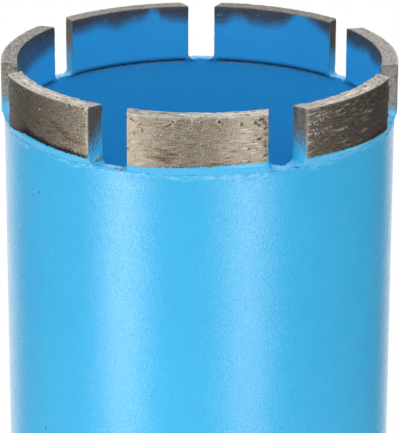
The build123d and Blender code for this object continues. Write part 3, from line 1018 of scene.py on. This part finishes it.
def painted_weld_highlights(angle, height):
    """1 in the middle of each painted highlight along the weld's joint, 0 elsewhere."""
    share = np.zeros(np.broadcast(angle, height).shape)
    for number, u, level, half_length, half_height, strength in WELD_HIGHLIGHTS:
        middle = number * PITCH_ANGLE + math.asin(u / TUBE_RADIUS)
        along = ((angle - middle + math.pi) % (2 * math.pi) - math.pi) * TUBE_RADIUS
        bend = 0.12 * np.sin(along * 1.1 + 2.0 * u)
        away = np.hypot(along / half_length, (height - RIM - level - bend) / half_height)
        share = np.maximum(share, strength * bump(away, 0.8))
    return share


def spots(points, places):
    """1 in the middle of each of a list of small places on the rim, 0 outside them."""
    share = np.zeros(points.shape[:-1])
    for along, radius, size in places:
        middle = np.array([along, -math.sqrt(radius ** 2 - along ** 2), RIM - 0.1])
        share = np.maximum(share, bump(np.linalg.norm(points - middle, axis=-1), size))
    return share


def turned_points(radius, height, angle):
    """Points in the CAD frame, at an angle round the axis from the middle of the first segment."""
    return np.stack(np.broadcast_arrays(radius * np.sin(angle), -radius * np.cos(angle),
                                        height), -1)


def full_turn(columns):
    return np.linspace(0, 2 * math.pi, columns, endpoint=False)[None, :]


def tube_outline():
    """Radius and height along the tube's wall, sharp and with soft edges at the rim, and the
    share, 0 to 1, by which each point lies towards the outside."""
    fine = np.arange(0, RIM_ZONE, RIM_SPACING)[::-1]
    coarse = np.linspace(TUBE_BACK + 1.4, RIM - RIM_ZONE, 14)[:-1]
    outer = np.concatenate([[TUBE_BACK + 1.2], coarse, RIM - fine])
    across = np.arange(RIM_SPACING, TUBE_WALL, RIM_SPACING)
    radius = np.concatenate([np.full(len(outer), TUBE_RADIUS), TUBE_RADIUS - across,
                             np.full(len(outer), TUBE_BORE), [TUBE_BORE, TUBE_RADIUS - 1.2]])
    height = np.concatenate([outer, np.full(len(across), RIM), outer[::-1],
                             [TUBE_BACK, TUBE_BACK]])
    outward = step(TUBE_BORE + 0.6, TUBE_RADIUS - 0.6, radius)
    at_rim = step(RIM - 1.8, RIM - 1.1, height)
    soft = [value + at_rim * (
        (1 - outward) * (smoothed(value, RIM_SOFTNESS[0] / RIM_SPACING) - value)
        + outward * (smoothed(value, RIM_SOFTNESS[1] / RIM_SPACING) - value))
        for value in (radius, height)]
    return [values[:, None] for values in (radius, height, *soft, outward)]


def make_tube(material):
    """The tube, with a finely meshed rim. In the slots its edges are rounded and the rim stands a
    little higher. Under the segments a crease is left inside, darkened with painted shade, and the
    weld stands out outside, with painted highlights along it."""
    radius, height, soft_radius, soft_height, outward = tube_outline()
    angle = full_turn(TUBE_COLUMNS)
    arc = angle * TUBE_RADIUS
    covered = under_segment(angle, radius)
    outside = radius > TUBE_RADIUS - 0.5
    soft = np.where(outside, 1 - under_segment(angle, radius, SEGMENT_HALF + 0.1, 0.7), 1.0)
    uneven = 0.85 + 0.25 * fractal(arc * 0.8, seed=44)
    shade = under_segment(angle, radius, SEGMENT_HALF - 0.5, 0.5) * uneven
    # painted shade in the crease inside, under the segments
    crease_shade = shade * bump(height - RIM, 0.44) * step(TUBE_BORE + 1.2, TUBE_BORE + 0.6, radius)
    shade = shade * bump(np.hypot(radius - TUBE_BORE, height - RIM), 0.60)
    crease = CREASE_DEPTH * shade
    lift = (1 - covered) * (0.10 - 0.07 * fractal(arc * 0.9, seed=43))
    lift = lift * step(RIM - 1.6, RIM - 0.2, height)
    ridge = weld_ridge(angle, height) * outside
    points = turned_points(radius + (soft_radius - radius) * soft + crease + ridge,
                           height + (soft_height - height) * soft - crease + lift, angle)
    # The light line on the rim's inner edge in the slots: worn paint, and painted highlight on the
    # rounded edge.
    rim_wear_and_highlight = bump(np.hypot(radius - TUBE_BORE - 0.1, height - RIM), 0.16) * (1 - covered)
    rim_wear_and_highlight = rim_wear_and_highlight * step(-0.25, 0.25, fractal(arc * 0.5, seed=48))
    make_piece("painted_barrel", "barrel_tube", [material], points, {
        "bare": np.clip(0.75 * rim_wear_and_highlight + spots(points, RIM_BARE), 0, 1),
        # dark spots on the rim, and painted shade along the crease
        "dark_spots_and_shade": np.clip(spots(points, RIM_DARK_SPOTS) + 0.20 * shade, 0, 1),
        "crease_shade": np.clip(crease_shade, 0, 1),
        # painted bounce light inside the tube
        "inner": np.broadcast_to(0.5 * (1 - outward), rim_wear_and_highlight.shape),
        "weld": ridge / WELD_HEIGHT,
        # painted highlights along the weld
        "pale": painted_weld_highlights(angle, height) * outside}, closed_rows=True)


# ---------------------------------------------------------------- end plate and threaded hub
WELD_BEVEL = 1.2
BEAD_RISE = 0.4
SPIGOT_RADIUS = TUBE_BORE - 0.1
SPIGOT_BORE = SPIGOT_RADIUS - 5.0
SPIGOT_TOP = TUBE_BACK + 4.0
PILOT_RADIUS = 18.0
PLATE_BORE = PILOT_RADIUS + 0.1
PLATE_CHAMFER = 0.6
SPIGOT_CHAMFER = 0.5
PLATE_COLUMNS = 520
HUB_COLUMNS = 288
HUB_RADIUS = 23.0
HUB_CHAMFER = 1.0
FILLET_LEG = 4.0
FILLET_DEPTH = 0.45
FLAT_DISTANCE = 20.5  # of the wrench flats from the axis
FLAT_BOTTOM, FLAT_TOP = 8.0, 28.0
THREAD_PITCH = 25.4 / 7
THREAD_MAJOR = 15.875
THREAD_MINOR = THREAD_MAJOR - 0.54125 * THREAD_PITCH
GROOVE_HALF = 0.375  # half the groove's width at the minor radius, in pitches
GROOVE_FLANK = 0.3125  # the width that each of its flanks takes up, in pitches
THREAD_END = 32.0
MOUTH_RADIUS = THREAD_MAJOR + 0.4
RELIEF_RADIUS = THREAD_MAJOR + 0.3
RELIEF_END = 35.0
WATER_BORE = 11.0
EDGE_BREAK = 0.15
TURNING_HEIGHT = 0.006  # of the fine rings that turning leaves


def turned_rows(corners, spacing):
    """Radius and height of the points along a closed outline, each of whose corners is broken
    by a small bevel. Also the number of the side that each point lies on."""
    rows = []
    for side, ((r0, z0), (r1, z1)) in enumerate(zip(corners, corners[1:] + corners[:1])):
        length = math.hypot(r1 - r0, z1 - z0)
        reach = min(EDGE_BREAK, 0.3 * length)
        count = max(1, int(math.ceil((length - 2 * reach) / spacing)))
        for along in np.linspace(reach, length - reach, count + 1) / length:
            rows.append((r0 + (r1 - r0) * along, z0 + (z1 - z0) * along, side))
    radius, height, side = (np.array(column)[:, None] for column in zip(*rows))
    return radius, height, side


def chosen_sides(choices):
    """Rows put together from (rows, number of a side)."""
    return [np.concatenate([rows[part][rows[2][:, 0] == side] for rows, side in choices])
            for part in range(3)]


def ripples(arc, across, seed):
    """The height, 0 to 1, of the curved ripples that a hand-laid weld bead freezes in."""
    phase = arc / 1.7 - 0.25 * across ** 2 + 0.35 * value_noise(arc * 0.25, seed=seed)
    scale = np.abs(np.sin(math.pi * phase)) ** 0.7
    return scale * (0.75 + 0.25 * value_noise(arc * 0.9, across * 2.0, seed=seed + 1))


def bead_shape(across):
    """A bead's rounded section: 1 in its middle and 0 at its edges, where across is -1 and 1."""
    return np.clip(1 - across ** 2, 0, 1) ** 0.6


def make_end_plate(material):
    """The plate with its spigot inside the tube, and the weld bead round the joint."""
    corners = [
        (PLATE_BORE, PLATE_BACK), (TUBE_RADIUS - PLATE_CHAMFER, PLATE_BACK),
        (TUBE_RADIUS, PLATE_BACK + PLATE_CHAMFER), (TUBE_RADIUS, TUBE_BACK - WELD_BEVEL),
        (TUBE_RADIUS, TUBE_BACK + WELD_BEVEL), (TUBE_RADIUS - WELD_BEVEL, TUBE_BACK),
        (SPIGOT_RADIUS, TUBE_BACK), (SPIGOT_RADIUS, SPIGOT_TOP - SPIGOT_CHAMFER),
        (SPIGOT_RADIUS - SPIGOT_CHAMFER, SPIGOT_TOP), (SPIGOT_BORE, SPIGOT_TOP),
        (SPIGOT_BORE, TUBE_BACK), (PLATE_BORE, TUBE_BACK)]
    face, weld = 0, 3
    coarse, fine = (turned_rows(corners, spacing) for spacing in (2.5, 0.2))
    radius, height, side = chosen_sides(
        [(fine if number == weld else coarse, number) for number in range(len(corners))])
    angle = full_turn(PLATE_COLUMNS)
    across = (height - TUBE_BACK) / WELD_BEVEL
    rise = BEAD_RISE + 0.26 * (ripples(angle * TUBE_RADIUS, across, 91) - 0.7)
    full = radius + (side == weld) * bead_shape(across) * rise
    turned = TURNING_HEIGHT * np.sin(radius * 14) * (side == face)
    make_piece("welded_end_plate", "end_plate", [material],
               turned_points(full, height - turned, angle),
               # painted bounce light inside the tube
               {"inner": 0.3 * (height > TUBE_BACK + 0.1) + 0 * angle}, closed_rows=True)


def thread_radius(angle, height):
    """The wall of the right-hand 1 1/4"-7 UNC female thread, with its countersunk mouth."""
    turn = (height / THREAD_PITCH - angle / (2 * math.pi)) % 1.0
    groove = np.clip((GROOVE_HALF - np.abs(turn - 0.5)) / GROOVE_FLANK, 0, 1)
    thread = THREAD_MINOR + (THREAD_MAJOR - THREAD_MINOR) * groove
    return np.maximum(thread, MOUTH_RADIUS - height)


def make_hub(paint, steel):
    """The hub: two wrench flats, a real thread, and a rippled fillet weld round its top."""
    corners = [
        (HUB_RADIUS + FILLET_LEG, PLATE_BACK), (HUB_RADIUS, PLATE_BACK - FILLET_LEG),
        (HUB_RADIUS, HUB_CHAMFER), (HUB_RADIUS - HUB_CHAMFER, 0.0), (MOUTH_RADIUS, 0.0),
        (THREAD_MINOR, THREAD_END), (RELIEF_RADIUS, THREAD_END), (RELIEF_RADIUS, RELIEF_END),
        (WATER_BORE, RELIEF_END), (WATER_BORE, TUBE_BACK), (PILOT_RADIUS, TUBE_BACK),
        (PILOT_RADIUS, PLATE_BACK)]
    weld, wall, _, face, thread = range(5)
    coarse, middle, fine = (turned_rows(corners, spacing) for spacing in (2.5, 0.3, 0.227))
    special = {weld: middle, thread: fine}
    radius, height, side = chosen_sides(
        [(special.get(number, coarse), number) for number in range(len(corners))])
    # The flats' square shoulders need rows of their own.
    for level in (FLAT_BOTTOM, FLAT_TOP):
        for shift in (0.06, -0.06):
            at = int(np.argmax((side[:, 0] == wall) & (height[:, 0] < level + shift)))
            radius, height, side = (np.insert(values, at, value, axis=0) for values, value in (
                (radius, HUB_RADIUS), (height, level + shift), (side, wall)))

    angle = full_turn(HUB_COLUMNS)
    flat = (side == wall) & (height > FLAT_BOTTOM) & (height < FLAT_TOP)
    flat_radius = FLAT_DISTANCE / np.abs(np.cos(angle) + 1e-9)
    full = np.where(flat, np.minimum(radius, flat_radius), radius)
    full = np.where(side == thread, thread_radius(angle, height), full)
    across = 2 * (height - (PLATE_BACK - FILLET_LEG / 2)) / FILLET_LEG
    sunk = FILLET_DEPTH * (1 - ripples(angle * HUB_RADIUS, across, 95))
    full = full - (side == weld) * bead_shape(across) * sunk
    turned = TURNING_HEIGHT * (1 + np.sin(radius * 14)) * (side == face)
    piece = make_piece("spindle_hub", "threaded_hub", [paint, steel],
                       turned_points(full, height + turned, angle), closed_rows=True)
    bare = np.repeat((side[:, 0] >= face) & (side[:, 0] <= thread + 3), angle.size)
    piece.data.polygons.foreach_set("material_index", bare.astype(np.int32))


# ---------------------------------------------------------------- stage
FLOOR_RADIUS = 0.5
SHADOW_RADIUS = 0.10  # the floor is its own pale self up to here, and plain white from its edge
FLOOR_COLOUR = (0.80, 0.80, 0.80)
WHITE = (1.0, 1.0, 1.0)


def make_floor():
    """A pale floor that keeps the shadow near the object and turns to plain white further out."""
    work = bmesh.new()
    bmesh.ops.create_circle(work, cap_ends=True, radius=FLOOR_RADIUS, segments=128)
    mesh = bpy.data.meshes.new("floor")
    work.to_mesh(mesh)
    work.free()
    shader = Material("pale_floor")
    pale = shader.existing("Principled BSDF", {
        "Base Color": FLOOR_COLOUR, "Roughness": 0.9, "Specular IOR Level": 0.1})
    away = shader.add("VectorMath", {0: shader.place()}, "Value", operation="LENGTH")
    shader.show("Material Output", shader.seen() * away.ramp(SHADOW_RADIUS, 0.9 * FLOOR_RADIUS),
                pale, shader.add("Emission", {}))
    mesh.materials.append(shader.owner)
    new_object("floor", mesh)


# The studio's light by direction: a white backdrop behind the object, a broad light above, and
# darker sides. The backdrop's edges are angles from straight behind, in radians.
LIGHT_ABOVE = 1.6
LIGHT_BEHIND = 1.0
LIGHT_FRONT = 0.36
LIGHT_LEFT = 0.23
LIGHT_RIGHT = 0.12
BACKDROP_LEFT = (0.70, 0.58)  # where it starts and where it is full
BACKDROP_RIGHT = (0.53, 0.38)


def make_world():
    """Soft light that varies by direction, before which the camera sees plain white."""
    world = bpy.data.worlds.new("studio")
    bpy.context.scene.world = world
    nodes = Nodes(world)
    direction = nodes.add("TexCoord", {}, "Generated")
    x, y, z = (nodes.add("SeparateXYZ", {0: direction}, out) for out in range(3))
    turn = nodes.maths("ARCTAN2", x, y)  # 0 straight behind the object, positive to the right
    backdrop = (turn.ramp(-BACKDROP_LEFT[0], -BACKDROP_LEFT[1])
                * turn.ramp(BACKDROP_RIGHT[1], BACKDROP_RIGHT[0], 1, 0))
    side = turn.ramp(-0.2, 0.2, LIGHT_LEFT, LIGHT_RIGHT)
    front = nodes.maths("ABSOLUTE", turn).ramp(2.0, 2.6)
    around = nodes.blend(backdrop, nodes.blend(front, side, LIGHT_FRONT), LIGHT_BEHIND)
    light = nodes.blend(z.ramp(0.20, 0.80), around, LIGHT_ABOVE)
    lit = nodes.existing("Background", {"Color": WHITE, "Strength": light})
    white = nodes.add("Background", {"Color": WHITE})
    reflected = nodes.rays("Glossy") * backdrop
    nodes.show("World Output", nodes.seen().at_least(reflected), lit, white)


# Upright lamps that face the object: the azimuth in degrees, 0 in front and 90 on the right, the
# radiance, and whether reflections show them. The softboxes make the barrel's two bright bands.
LAMPS = {"softbox_left": (-43.5, 6.2, True), "softbox_right": (27.5, 4.7, True),
         "fill_left": (-84, 0.9, False), "fill_right": (80, 1.3, False)}
LAMP_DISTANCE = 0.60
LAMP_WIDTH = 0.20
LAMP_HEIGHT = 0.35
LAMP_MIDDLE = 0.185  # its middle above the floor


def turn_to(thing, rotation):
    thing.rotation_mode = "QUATERNION"
    thing.rotation_quaternion = rotation


def make_lights():
    for name, (azimuth, radiance, reflected) in LAMPS.items():
        lamp = bpy.data.lights.new(name, "AREA")
        lamp.shape = "RECTANGLE"
        lamp.size, lamp.size_y = LAMP_WIDTH, LAMP_HEIGHT
        lamp.energy = radiance * math.pi * LAMP_WIDTH * LAMP_HEIGHT
        thing = new_object(name, lamp)
        outwards = Vector((math.sin(math.radians(azimuth)), -math.cos(math.radians(azimuth)), 0))
        thing.location = outwards * LAMP_DISTANCE + Vector((0, 0, LAMP_MIDDLE))
        turn_to(thing, (-outwards).to_track_quat("-Z", "Y"))
        thing.visible_camera = False
        thing.visible_glossy = reflected


# ---------------------------------------------------------------- camera
# The photograph shows the crown from above its rim, from far away through a long lens.
CAMERA_DISTANCE = 0.5744
CAMERA_ELEVATION = math.radians(19.83)
CAMERA_AZIMUTH = math.radians(0.54)
CAMERA_ROLL = math.radians(0.146)
AIM_BELOW_TIP = 0.0309
AIM_ASIDE = 0.00015
FOCAL_PIXELS = 3108.9
PHOTO_HEIGHT = 433
SENSOR = 36.0


def make_camera():
    data = bpy.data.cameras.new("camera")
    data.sensor_width = SENSOR
    data.lens = SENSOR * FOCAL_PIXELS / PHOTO_HEIGHT
    data.clip_start, data.clip_end = 0.05, 50
    camera = new_object("camera", data)
    back = Vector((math.sin(CAMERA_AZIMUTH) * math.cos(CAMERA_ELEVATION),
                   -math.cos(CAMERA_AZIMUTH) * math.cos(CAMERA_ELEVATION),
                   math.sin(CAMERA_ELEVATION)))
    target = Vector((AIM_ASIDE, 0, TIP * MM - AIM_BELOW_TIP))
    camera.location = target + back * CAMERA_DISTANCE
    facing = (-back).to_track_quat("-Z", "Y").to_matrix()
    turn_to(camera, (facing @ Matrix.Rotation(CAMERA_ROLL, 3, "Z")).to_quaternion())
    bpy.context.scene.camera = camera


# ---------------------------------------------------------------- the scene
paint = paint_material()
bond = segment_material()
steel = steel_material()

make_tube(paint)
for segment_number in range(SEGMENT_COUNT):
    make_segment(segment_number, bond)
make_end_plate(paint)
make_hub(paint, steel)

make_floor()
make_world()
make_lights()
make_camera()
bpy.context.scene.view_settings.view_transform = "Standard"
